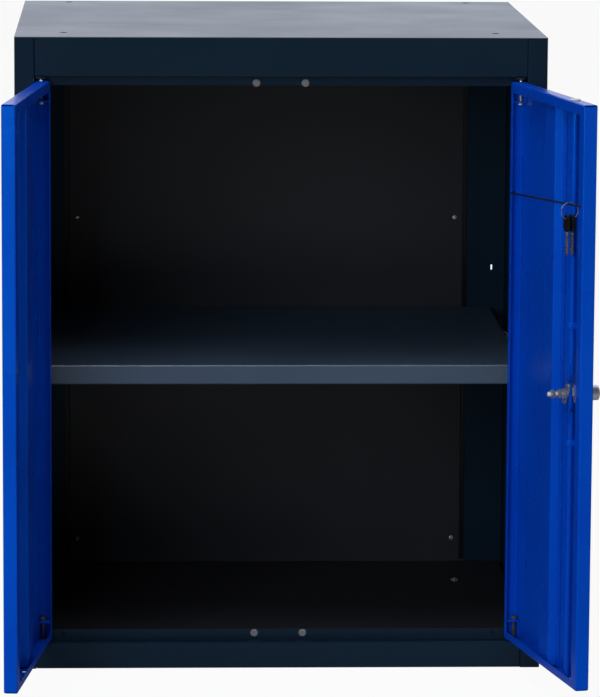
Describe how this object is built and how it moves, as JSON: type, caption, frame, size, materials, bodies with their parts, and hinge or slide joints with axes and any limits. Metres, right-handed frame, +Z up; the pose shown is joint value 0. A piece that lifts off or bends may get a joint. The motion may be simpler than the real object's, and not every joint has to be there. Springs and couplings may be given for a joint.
{
  "type": "tool chest side locker",
  "caption": "Folded sheet steel locker with a header, a plinth, a lipped shelf and inset pan doors on pivot pins, shut by a knob lock that drives rods up and down",
  "frame": {"origin": "middle of the front base rail's bottom flange, on the floor, midway between the sides", "axes": "+Z up, +X to the right when facing the doors, +Y from the doors towards the back"},
  "size_m": [0.7147, 0.8738, 0.797],
  "materials": {
    "carcass_paint": "semi-gloss anthracite powder coat with a fine orange peel",
    "shelf_paint": "semi-gloss slate powder coat, a shade lighter than the carcass",
    "door_paint": "semi-gloss strong blue powder coat with a fine orange peel",
    "zinc": "bright zinc-plated steel, slightly clouded",
    "chrome": "nickel-plated lock metal, smooth",
    "nylon": "natural white nylon",
    "rubber": "soft clear grey buffer rubber",
    "key_plastic": "black moulded key head",
    "key_steel": "nickel-plated key steel",
    "cord": "black plaited cord"
  },
  "bodies": {
    "carcass": {"top_panel": "carcass_paint", "back_panel": "carcass_paint", "floor_panel": "carcass_paint", "front_base_rail": "carcass_paint", "shelf": "shelf_paint", "floor_bolt": "zinc", "left_side_panel": "carcass_paint", "shelf_support_front_left": "zinc", "shelf_support_rear_left": "zinc", "upper_bumper_left": "rubber", "lower_bumper_left": "rubber", "upper_pivot_bush_left": "nylon", "lower_pivot_bush_left": "nylon", "back_rivet_upper_left": "zinc", "back_rivet_lower_left": "zinc", "right_side_panel": "carcass_paint", "shelf_support_front_right": "zinc", "shelf_support_rear_right": "zinc", "upper_bumper_right": "rubber", "lower_bumper_right": "rubber", "upper_pivot_bush_right": "nylon", "lower_pivot_bush_right": "nylon", "back_rivet_upper_right": "zinc", "back_rivet_lower_right": "zinc"},
    "left_door": {"left_door_panel": "door_paint", "left_door_stiffener": "door_paint", "left_door_upper_bracket": "door_paint", "left_door_lower_bracket": "door_paint", "left_door_lower_pin": "zinc", "left_door_upper_pin": "zinc"},
    "right_door": {"right_door_panel": "door_paint", "right_door_stiffener": "door_paint", "right_door_upper_bracket": "door_paint", "right_door_lower_bracket": "door_paint", "right_door_lower_pin": "zinc", "right_door_upper_pin": "zinc", "lock_housing": "chrome", "lock_plate": "door_paint", "lock_nut": "zinc", "upper_rod_guide": "door_paint", "lower_rod_guide": "door_paint", "upper_rod_bush": "nylon", "lower_rod_bush": "nylon", "key_cord": "cord"},
    "lock": {"lock_knob": "chrome", "lock_cam": "zinc", "cam_nut": "zinc", "spacer_nut": "zinc", "end_nut": "zinc"},
    "upper_rod": {"upper_rod": "door_paint"},
    "lower_rod": {"lower_rod": "door_paint"},
    "key_ring": {"key_ring": "key_steel"},
    "key_1": {"key_head_1": "key_plastic", "key_blade_1": "key_steel"},
    "key_2": {"key_head_2": "key_plastic", "key_blade_2": "key_steel"}
  },
  "joints": [
    {"name": "left_door_swing", "type": "hinge", "parent": "carcass", "child": "left_door", "pos_m": [-0.2972, -0.007, 0.39], "axis": [0, 0, -1], "range_deg": [-96.9, 14]},
    {"name": "right_door_swing", "type": "hinge", "parent": "carcass", "child": "right_door", "pos_m": [0.2972, -0.007, 0.39], "axis": [0, 0, 1], "range_deg": [-101.7, 9.3]},
    {"name": "upper_rod_slide", "type": "slide", "parent": "right_door", "child": "upper_rod", "axis": [0, 0, 1], "range_m": [0, 0.015]},
    {"name": "lock_turn", "type": "hinge", "parent": "right_door", "child": "lock", "pos_m": [0.3505, -0.23728, 0.3893], "axis": [0.9792, 0.2028, 0], "range_deg": [0, 90]},
    {"name": "lower_rod_slide", "type": "slide", "parent": "right_door", "child": "lower_rod", "axis": [0, 0, -1], "range_m": [0, 0.015]},
    {"name": "key_ring_swing", "type": "hinge", "parent": "right_door", "child": "key_ring", "pos_m": [0.33514, -0.25578, 0.61975], "axis": [-0.2024, 0.9773, -0.0623], "range_deg": [-2, 35]},
    {"name": "key_1_swing", "type": "hinge", "parent": "key_ring", "child": "key_1", "pos_m": [0.33827, -0.25513, 0.60226], "axis": [-0.9792, -0.2028, 0], "range_deg": [-12, 12]},
    {"name": "key_2_swing", "type": "hinge", "parent": "key_ring", "child": "key_2", "pos_m": [0.332, -0.25643, 0.60226], "axis": [-0.9792, -0.2028, 0], "range_deg": [-12, 12]}
  ],
  "couplings": [
    {"joint": "lock_turn", "follows": "upper_rod_slide", "rad_per_m": 104.71},
    {"joint": "lower_rod_slide", "follows": "upper_rod_slide", "ratio": 1}
  ]
}
